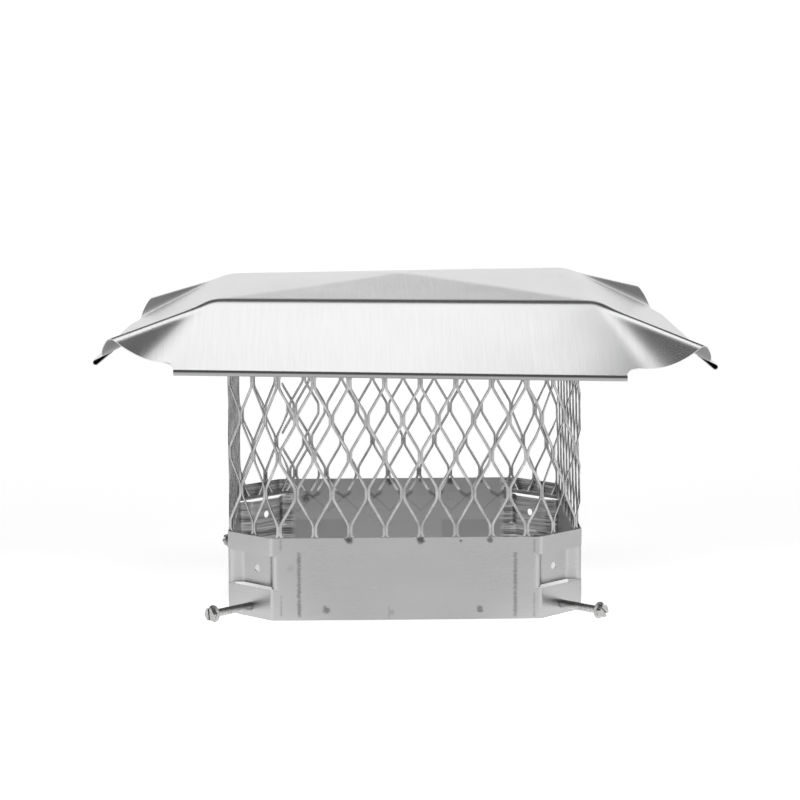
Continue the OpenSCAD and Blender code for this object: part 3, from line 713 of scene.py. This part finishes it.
def strand_paths(z, strip, bottom, top, foot):
    """Every strand between two rows of bonds, as run s and height z at even shares of its length.

    A strand goes straight up through half of a bond, leans over to the next column, and goes straight up
    again. It is cut off at the strip's ends and at the screen's lower and upper edges."""
    half_bond = z.bond_width / 4
    lean = z.pitch / 2 - 2 * half_bond
    open_b = z.bond_length / 2
    rise_low, rise_high = 0.0, z.row
    for _ in range(40):
        rise = (rise_low + rise_high) / 2
        width = (2 * half_bond * rise + lean * (z.row - rise - 2 * open_b)) / np.hypot(lean, rise)
        rise_low, rise_high = (rise, rise_high) if width > z.strand else (rise_low, rise)
    knee = (z.row - rise) / 2 / z.row
    phase = strip.front_middle + z.foot_shift
    rows = np.arange(np.floor((bottom - foot) / z.row) - 1, np.ceil((top - foot) / z.row) + 1)
    columns = np.arange(np.floor(-(phase + z.seam_lap) / z.pitch) - 1, np.ceil((strip.total - phase) / z.pitch) + 2)
    r, k, side = (v.ravel() for v in np.meshgrid(rows, columns, [-1, 1], indexing="ij"))
    start_s = phase + k * z.pitch + np.where(r % 2 == 0, 0, z.pitch / 2) + side * half_bond
    start_z = foot + r * z.row

    share = np.linspace(0, 1, 41)
    soft = 0.05
    ramp = lambda t: np.where(t < -soft, 0, np.where(t > soft, t, (t + soft) ** 2 / (4 * soft)))
    lean_at = (ramp(share - knee) - ramp(share - 1 + knee)) / (1 - 2 * knee)
    first = z.pitch / 2 * np.round((-z.seam_lap - phase) / (z.pitch / 2)) + phase + z.bond_width / 8
    u_low = np.maximum(0, (bottom - start_z) / z.row)
    u_high = np.minimum(1, (top - start_z) / z.row)
    run = lambda s: np.interp(np.clip(side * (s - start_s) / lean, 0, 1), lean_at + 1e-9 * share, share)
    left, right = run(first), run(strip.total)
    starts_out = (start_s < first) | (start_s > strip.total)
    ends = start_s + side * lean
    ends_out = (ends < first) | (ends > strip.total)
    cut = np.where(side > 0, np.where(starts_out, left, right), np.where(starts_out, right, left))
    u_low = np.where(starts_out, np.maximum(u_low, cut), u_low)
    u_high = np.where(ends_out, np.minimum(u_high, cut), u_high)
    keep = (u_high - u_low > 0.02) & ~(starts_out & ends_out)
    u_low, u_high, start_s, start_z, side = (v[keep] for v in (u_low, u_high, start_s, start_z, side))
    knots = np.array([0, 0.5 * knee, knee - 0.4 * soft, knee + 1.2 * soft, 0.5, 1 - knee - 1.2 * soft, 1 - knee + 0.4 * soft, 1 - 0.5 * knee, 1])
    u = u_low[:, None] + (u_high - u_low)[:, None] * knots
    s = start_s[:, None] + side[:, None] * lean * np.interp(u, share, lean_at)
    return s, start_z[:, None] + u * z.row, u, side


def screen_mesh(z, collar, hood):
    """Strands carried along their paths: a rectangle with broken corners, turned a little about the path."""
    strip = BentStrip(collar, z)
    bottom = collar.height - z.reach
    corners = strip.place
    crown = hood.rise * (1 - np.abs(corners).max(axis=1) / hood.fold_half)
    sprung = hood.spring * corners[:, 0] * corners[:, 1] / hood.fold_half**2
    top = hood.fold_height - collar.sheet - z.seat_gap + (crown + sprung).min()
    s, height, u, side = strand_paths(z, strip, bottom, top, collar.height + z.foot_bond)
    inner = s < 5 * MM
    lap = np.where(inner, (z.thickness - 0.05 * MM) * smoothstep((5 * MM - s) / (5 * MM)), 0)
    ds, dz = np.gradient(s, axis=1), np.gradient(height, axis=1)
    size = np.hypot(ds, dz)
    across = np.stack([dz / size, -ds / size], -1)
    lean = np.abs(ds) / size
    turn = side[:, None] * z.twist * smoothstep(lean * 1.6) * smoothstep((height - collar.height - 2 * MM) / (6 * MM))
    wide = np.interp(lean, [0, 0.45], [z.bond_width / 4, z.strand / 2])
    thin = z.thickness / 2 * (1 - 0.45 * np.abs(np.sin(turn)) / np.sin(z.twist))
    chip = 0.18 * MM
    w, t = wide[..., None], thin[..., None]
    ring_w = np.concatenate([w, w, w - chip, chip - w, -w, -w, chip - w, w - chip], -1)
    ring_t = np.concatenate([chip - t, t - chip, t, t, t - chip, chip - t, -t, -t], -1)
    c, k = np.cos(turn)[..., None], np.sin(turn)[..., None]
    off_s = (ring_w * c - ring_t * k) * across[..., :1]
    off_z = (ring_w * c - ring_t * k) * across[..., 1:]
    depth = z.thickness / 2 + lap[..., None] + ring_w * k + ring_t * c
    plan, _, _ = strip.point(s[..., None] + off_s, depth)
    rings = np.concatenate([plan, (height[..., None] + off_z)[..., None]], -1)
    rings[..., 2] = np.clip(rings[..., 2], bottom, top)
    return rings, tube(rings)


class CAP_OT_screen(bpy.types.Operator):
    """Build the strands of the expanded metal screen"""

    bl_idname = "cap.screen"
    bl_label = "Screen"

    def execute(self, context):
        scene = context.scene
        rings, faces = screen_mesh(scene.cap_screen, scene.cap_collar, scene.cap_hood)
        strands = add_piece("screen_strands", rings, faces, "cap", strand_metal(scene.cap_finish.strands), 50)
        # Marks the strands' sides for their painted shade; the faces get a painted highlight.
        mark_points(strands, "painted_side_shade", np.resize([1, 1, 0, 0], rings.size // 3))
        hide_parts("screen")
        return {"FINISHED"}


# Collar, screws and nuts


def wall_path(c, run):
    """Plan points of the collar's corner at run from the middle of its bevel, in the corner's own frame
    (along the bevel, outward): the bevel, then an arc, then the side."""
    half, r = c.bevel_leg / np.sqrt(2), c.bend_radius
    turn = np.linspace(0, np.pi / 4, 13)
    start = half - r * np.tan(np.pi / 8)
    arc = np.stack([start + r * np.sin(turn), r * np.cos(turn) - r], -1)
    far = arc[-1] + 60 * MM * np.array([1, -1]) / np.sqrt(2)
    knots = np.concatenate([[0], start + r * turn, [start + r * np.pi / 4 + 60 * MM]])
    path = np.concatenate([[[0, 0]], arc, [far]])
    return np.stack([np.sign(run) * np.interp(np.abs(run), knots, path[:, 0]), np.interp(np.abs(run), knots, path[:, 1])], -1)


def pressed_path(c, run, end):
    """The same for the pressed strip: the pad's flat, then a cubic curve that leaves the flat level and
    meets the side along it at run `end`."""
    flat = c.pad_width / 2
    t = np.clip((np.abs(run) - flat) / (end - flat), 0, 1)[..., None]
    meet = wall_path(c, np.array(end))
    pull = np.array([-1, 1]) / np.sqrt(2)
    points = [
        np.array([flat, -c.pad_depth]), np.array([flat + 3.2 * MM, -c.pad_depth]), meet + 6.2 * MM * pull, meet,
    ]
    curve = sum(w * p for w, p in zip(((1 - t) ** 3, 3 * t * (1 - t) ** 2, 3 * t * t * (1 - t), t**3), points))
    side = np.where(np.abs(run) > flat, curve[..., 0], np.abs(run))
    pressed = np.stack([np.sign(run) * side, curve[..., 1]], -1)
    return np.where((np.abs(run) < end)[..., None], pressed, wall_path(c, run))


def collar_mesh(c):
    """Sheet ring on a grid of runs round the collar and heights. Slits and holes are left out; round a
    hole of radius R a square of the grid is drawn in, so that its rim lies on the circle."""
    hole = np.array([0, 1, 2, 3, 4.5, 6]) * MM
    half, r = c.bevel_leg / np.sqrt(2), c.bend_radius
    end = half + c.pad_wrap - r * (2 * np.tan(np.pi / 8) - np.pi / 4)
    out = np.concatenate([hole, [9 * MM], np.linspace(c.pad_width / 2, end, 19), end + np.array([2, 5]) * MM])
    run = np.concatenate([-out[:0:-1], out])
    mid = np.concatenate([-hole[:0:-1], hole])
    low, high = c.pad_foot, c.pad_foot + c.pad_height
    pad_middle = (low + high) / 2
    z = np.concatenate([
        [0], c.screw_height + mid, [low - 4 * MM, low - c.slit, low], pad_middle + mid,
        [high, high + c.slit, high + 4 * MM, c.height - 3 * MM, c.height],
    ])
    l, height = np.meshgrid(run, z, indexing="ij")
    empty = np.zeros((len(run) - 1, len(z) - 1), bool)
    between = (run[:-1] + run[1:]) / 2
    rise = (z[:-1] + z[1:]) / 2
    for centre, radius in ((c.screw_height, c.screw_hole / 2), (pad_middle, c.pad_hole / 2)):
        dz = height - centre
        reach = np.maximum(np.abs(l), np.abs(dz))
        blend = np.clip((hole[-1] - reach) / (hole[-1] - hole[3]), 0, 1)
        near = (reach < hole[-1] + 1e-9) & (reach > 1e-9)
        scale = np.where(near, 1 - blend + blend * radius / np.where(near, np.hypot(l, dz), 1), 1)
        l, height = l * scale, centre + dz * scale
        empty |= (np.abs(between)[:, None] < hole[3]) & (np.abs(rise - centre) < hole[3])
    for slit in (low - c.slit / 2, high + c.slit / 2):
        empty |= (np.abs(between)[:, None] < end) & (np.abs(rise - slit) < c.slit)
    pressed = (z > low - c.slit / 2) & (z < high + c.slit / 2)
    plan = np.where(pressed[:, None], pressed_path(c, l, end), wall_path(c, l))

    columns, held, tall = [], [], []
    for a in np.radians([45, 135, 225, 315]):
        n = np.array([np.cos(a), np.sin(a)])
        t = np.array([-n[1], n[0]])
        middle = np.sign(n) * (np.array([c.width, c.depth]) / 2 - c.bevel_leg / 2)
        columns.append(middle + plan[..., :1] * t + plan[..., 1:] * n)
        held.append(~empty)
        tall.append(height)
    points, cells, heights = [], [], []
    for k in range(4):
        share = (np.arange(1, 12) / 12)[:, None, None]
        points += [columns[k], columns[k][-1] + share * (columns[(k + 1) % 4][0] - columns[k][-1])]
        cells += [held[k], np.ones((12, len(z) - 1), bool)]
        heights += [tall[k], np.broadcast_to(z, (11, len(z)))]
    points, held, height = np.concatenate(points), np.concatenate(cells), np.concatenate(heights)
    ahead = unit(np.roll(points, -1, 0) - np.roll(points, 1, 0))
    inner = points - c.sheet * np.stack([ahead[..., 1], -ahead[..., 0]], -1)
    full = np.stack([
        np.concatenate([points, height[..., None]], -1), np.concatenate([inner, height[..., None]], -1),
    ], -2)
    used, faces = closed_sheet(held, len(points), len(z), np.ones_like(held))
    return full.reshape(-1, 3)[used], faces, used % 2


class CAP_OT_collar(bpy.types.Operator):
    """Build the collar with its lanced and pressed corners"""

    bl_idname = "cap.collar"
    bl_label = "Collar"

    def execute(self, context):
        sizes = context.scene.cap_collar
        points, faces, inside = collar_mesh(sizes)
        metal = satin_sheet(context.scene.cap_finish.satin_sheet, sizes)
        collar = add_piece("collar_sheet", points, faces, "cap", metal, 40)
        mark_points(collar, "inside", inside)
        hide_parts("collar")
        return {"FINISHED"}


def coat(node, material):
    """Puts a material on a packed node."""
    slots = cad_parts[node].data.materials
    slots.clear()
    slots.append(material)


class CAP_OT_screws(bpy.types.Operator):
    """Give the clamp screws their finish"""

    bl_idname = "cap.screws"
    bl_label = "Clamp screws"

    def execute(self, context):
        metal = screw_metal(context.scene.cap_finish.screws)
        for corner in CORNERS:
            coat("clamp_screw_" + corner, metal)
        return {"FINISHED"}


class CAP_OT_nuts(bpy.types.Operator):
    """Give the weld nuts their finish"""

    bl_idname = "cap.nuts"
    bl_label = "Weld nuts"

    def execute(self, context):
        metal = nut_metal(context.scene.cap_finish.nuts)
        for corner in CORNERS:
            coat("clamp_nut_" + corner, metal)
        return {"FINISHED"}


# Studio


def backdrop_mesh(studio):
    """A floor that turns up into a far wall: flat, then a quarter arc, then straight up, as one sheet."""
    turn = np.linspace(0, np.pi / 2, 25)
    r, far = studio.sweep_radius, studio.sweep_reach
    y = np.concatenate([[-far, -1.0, 1.0], far - r + r * np.sin(turn), [far]])
    z = np.concatenate([[0.0, 0.0, 0.0], r * (1 - np.cos(turn)), [studio.sweep_height]])
    x = np.linspace(-far, far, 7)
    shape = (len(y), len(x))
    points = np.stack([np.broadcast_to(x, shape), *(np.broadcast_to(v[:, None], shape) for v in (y, z))], -1)
    return points, quads(*shape, len(x))[:, ::-1].tolist()


def lit_paper(base, glow, edge):
    """Matt paper over a light table, a little uneven; inside the part's collar the glow is turned down, a painted
    shade.
    """
    f = Finish("backdrop")
    f.shader.inputs["Metallic"].default_value = 0.0
    f.shader.inputs["Emission Color"].default_value = (1, 1, 1, 1)
    x, y = f.math("ABSOLUTE", f.axis("X")), f.math("ABSOLUTE", f.axis("Y"))
    far = f.math("MAXIMUM", f.math("MAXIMUM", x, y), f.math("MULTIPLY", f.math("ADD", x, y), 0.62))
    angle = f.math("ARCTAN2", x, f.math("MULTIPLY", f.axis("Y"), -1.0))
    turn = f.math("ADD", f.range(angle, 0.3, 0.6, 1.18, 1.6), f.range(angle, 0.95, 1.25, 0.0, -0.45))
    turn = f.math("ADD", turn, f.range(angle, 1.7, 2.1, 0.0, -0.08))
    # Painted shade: the glow falls to 0.62 of itself inside the collar's footprint.
    inside = f.range(far, 0.8 * edge, 1.04 * edge, 0.62, 1.0)
    turn = f.math("MINIMUM", turn, f.range(far, 3 * edge, 8 * edge, 2.0, 1.15))
    turn = f.math("MAXIMUM", turn, f.range(far, 3 * edge, 8 * edge, 0.0, 1.15))
    strength = f.math("MULTIPLY", f.math("MULTIPLY", turn, inside), glow)
    f.join(strength, f.shader.inputs["Emission Strength"])
    soft = f.noise((3, 3, 3), 2.0)
    return f.finish(f.tint(base, f.range(soft, 0.3, 0.7, 0.99, 1.0)), 0.9, f.bump(soft, 0.0001))


def soft_room(world, light):
    """Light of the room by the parts x, y, z of a direction, each from -1 to 1: pale low down and dark
    above, higher to the sides, brighter in front of the part to the sides and dimmer behind it there."""
    world.use_nodes = True
    tree = world.node_tree
    tree.nodes.clear()
    add = tree.nodes.new
    place, split = add("ShaderNodeTexCoord"), add("ShaderNodeSeparateXYZ")
    tree.links.new(place.outputs["Generated"], split.inputs[0])
    x, y, z = split.outputs

    def ramp(source, low, high, out_low, out_high):
        node = add("ShaderNodeMapRange")
        node.interpolation_type = "SMOOTHSTEP"
        tree.links.new(source, node.inputs[0])
        for value, socket in zip((low, high, out_low, out_high), list(node.inputs)[1:5]):
            socket.default_value = value
        return node.outputs[0]

    def combine(operation, a, b=None):
        node = add("ShaderNodeMath")
        node.operation = operation
        tree.links.new(a, node.inputs[0])
        if b is not None:
            tree.links.new(b, node.inputs[1])
        return node.outputs[0]

    side = combine("ABSOLUTE", x)
    height = combine("SUBTRACT", z, ramp(side, 0.3, 0.7, 0.0, 0.2))
    back = combine("MULTIPLY", ramp(y, -0.2, 0.3, 0.0, 1.0), ramp(height, 0.26, 0.42, 0.72, 0.09))
    front = combine("MULTIPLY", ramp(y, -0.2, 0.3, 1.0, 0.0), ramp(height, -0.1, 0.6, 0.72, 0.09))
    turn = combine("MULTIPLY", ramp(side, 0.35, 0.6, 0.0, 1.0), ramp(y, -0.55, 0.55, 1.0, -0.8))
    level = combine("MULTIPLY", combine("ADD", back, front), combine("ADD", turn, ramp(z, -2, -1.5, 1.0, 1.0)))
    shade, out = add("ShaderNodeBackground"), add("ShaderNodeOutputWorld")
    tree.links.new(level, shade.inputs["Color"])
    shade.inputs["Strength"].default_value = light
    tree.links.new(shade.outputs[0], out.inputs[0])


def add_softbox(name, target, elevation, distance, width, height, radiance):
    """A rectangular softbox behind the part that faces target from the given elevation."""
    lamp = bpy.data.lights.new(name, "AREA")
    lamp.shape = "RECTANGLE"
    lamp.size, lamp.size_y = width, height
    lamp.energy = radiance * np.pi * width * height
    obj = bpy.data.objects.new(name, lamp)
    bpy.context.scene.collection.objects.link(obj)
    back = np.array([0.0, np.cos(elevation), np.sin(elevation)])
    side = np.array([1.0, 0.0, 0.0])
    turn = Matrix(np.stack([side, np.cross(back, side), back], 1).tolist()).to_4x4()
    obj.matrix_world = Matrix.Translation((np.array(target) + distance * back).tolist()) @ turn


class CAP_OT_studio(bpy.types.Operator):
    """Set up the pale floor, the soft light and the camera"""

    bl_idname = "cap.studio"
    bl_label = "Studio"

    def execute(self, context):
        scene, studio = context.scene, context.scene.cap_studio
        points, faces = backdrop_mesh(studio)
        mesh = bpy.data.meshes.new("backdrop")
        mesh.from_pydata(points.reshape(-1, 3).tolist(), [], faces)
        mesh.shade_smooth()
        mesh.materials.append(lit_paper(scene.cap_finish.floor, studio.glow, scene.cap_collar.depth / 2))
        floor = bpy.data.objects.new("backdrop", mesh)
        scene.collection.objects.link(floor)

        scene.world = scene.world or bpy.data.worlds.new("room")
        soft_room(scene.world, studio.light)
        scene.view_settings.view_transform = "Standard"
        add_softbox("softbox", (0, -0.16, 0.17), studio.softbox_elevation, 2.2, studio.softbox_width,
                    studio.softbox_height, studio.softbox_light)

        lens = bpy.data.cameras.new("camera")
        lens.sensor_width = 36
        lens.lens = studio.focal_pixels / 800 * lens.sensor_width
        lens.clip_end = 50
        camera = bpy.data.objects.new("camera", lens)
        scene.collection.objects.link(camera)
        cp, sp, cy, sy = np.cos(studio.pitch), np.sin(studio.pitch), np.cos(studio.yaw), np.sin(studio.yaw)
        ahead, right = np.array([sy * cp, cy * cp, -sp]), np.array([cy, -sy, 0])
        up = np.cross(right, ahead)
        cr, sr = np.cos(studio.roll), np.sin(studio.roll)
        axes = np.stack([cr * right + sr * up, cr * up - sr * right, -ahead], 1)
        camera.matrix_world = Matrix.Translation(studio.camera_place) @ Matrix(axes.tolist()).to_4x4()
        scene.camera = camera
        return {"FINISHED"}


GROUPS = {
    "cap_collar": CollarSizes,
    "cap_hood": HoodSizes,
    "cap_screen": ScreenSizes,
    "cap_finish": Finishes,
    "cap_studio": StudioSizes,
}
OPERATORS = (CAP_OT_studio, CAP_OT_hood, CAP_OT_screen, CAP_OT_collar, CAP_OT_screws, CAP_OT_nuts)


class CAP_PT_looks(bpy.types.Panel):
    """Sizes, colours and build buttons of the chimney cap"""

    bl_label = "Chimney cap"
    bl_space_type = "VIEW_3D"
    bl_region_type = "UI"
    bl_category = "Chimney cap"

    def draw(self, context):
        for name, group in GROUPS.items():
            box = self.layout.box()
            box.label(text=group.__doc__)
            for key in group.__annotations__:
                box.prop(getattr(context.scene, name), key)
        for operator in OPERATORS:
            self.layout.operator(operator.bl_idname)


def register():
    for kind in (*GROUPS.values(), *OPERATORS, CAP_PT_looks):
        bpy.utils.register_class(kind)
    for name, group in GROUPS.items():
        setattr(bpy.types.Scene, name, PointerProperty(type=group))


def unregister():
    for name in GROUPS:
        delattr(bpy.types.Scene, name)
    for kind in (CAP_PT_looks, *reversed(OPERATORS), *reversed(GROUPS.values())):
        bpy.utils.unregister_class(kind)


def main():
    register()
    for operator in OPERATORS:
        getattr(bpy.ops.cap, operator.bl_idname.split(".")[1])()
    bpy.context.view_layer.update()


if __name__ == "__main__":
    main()
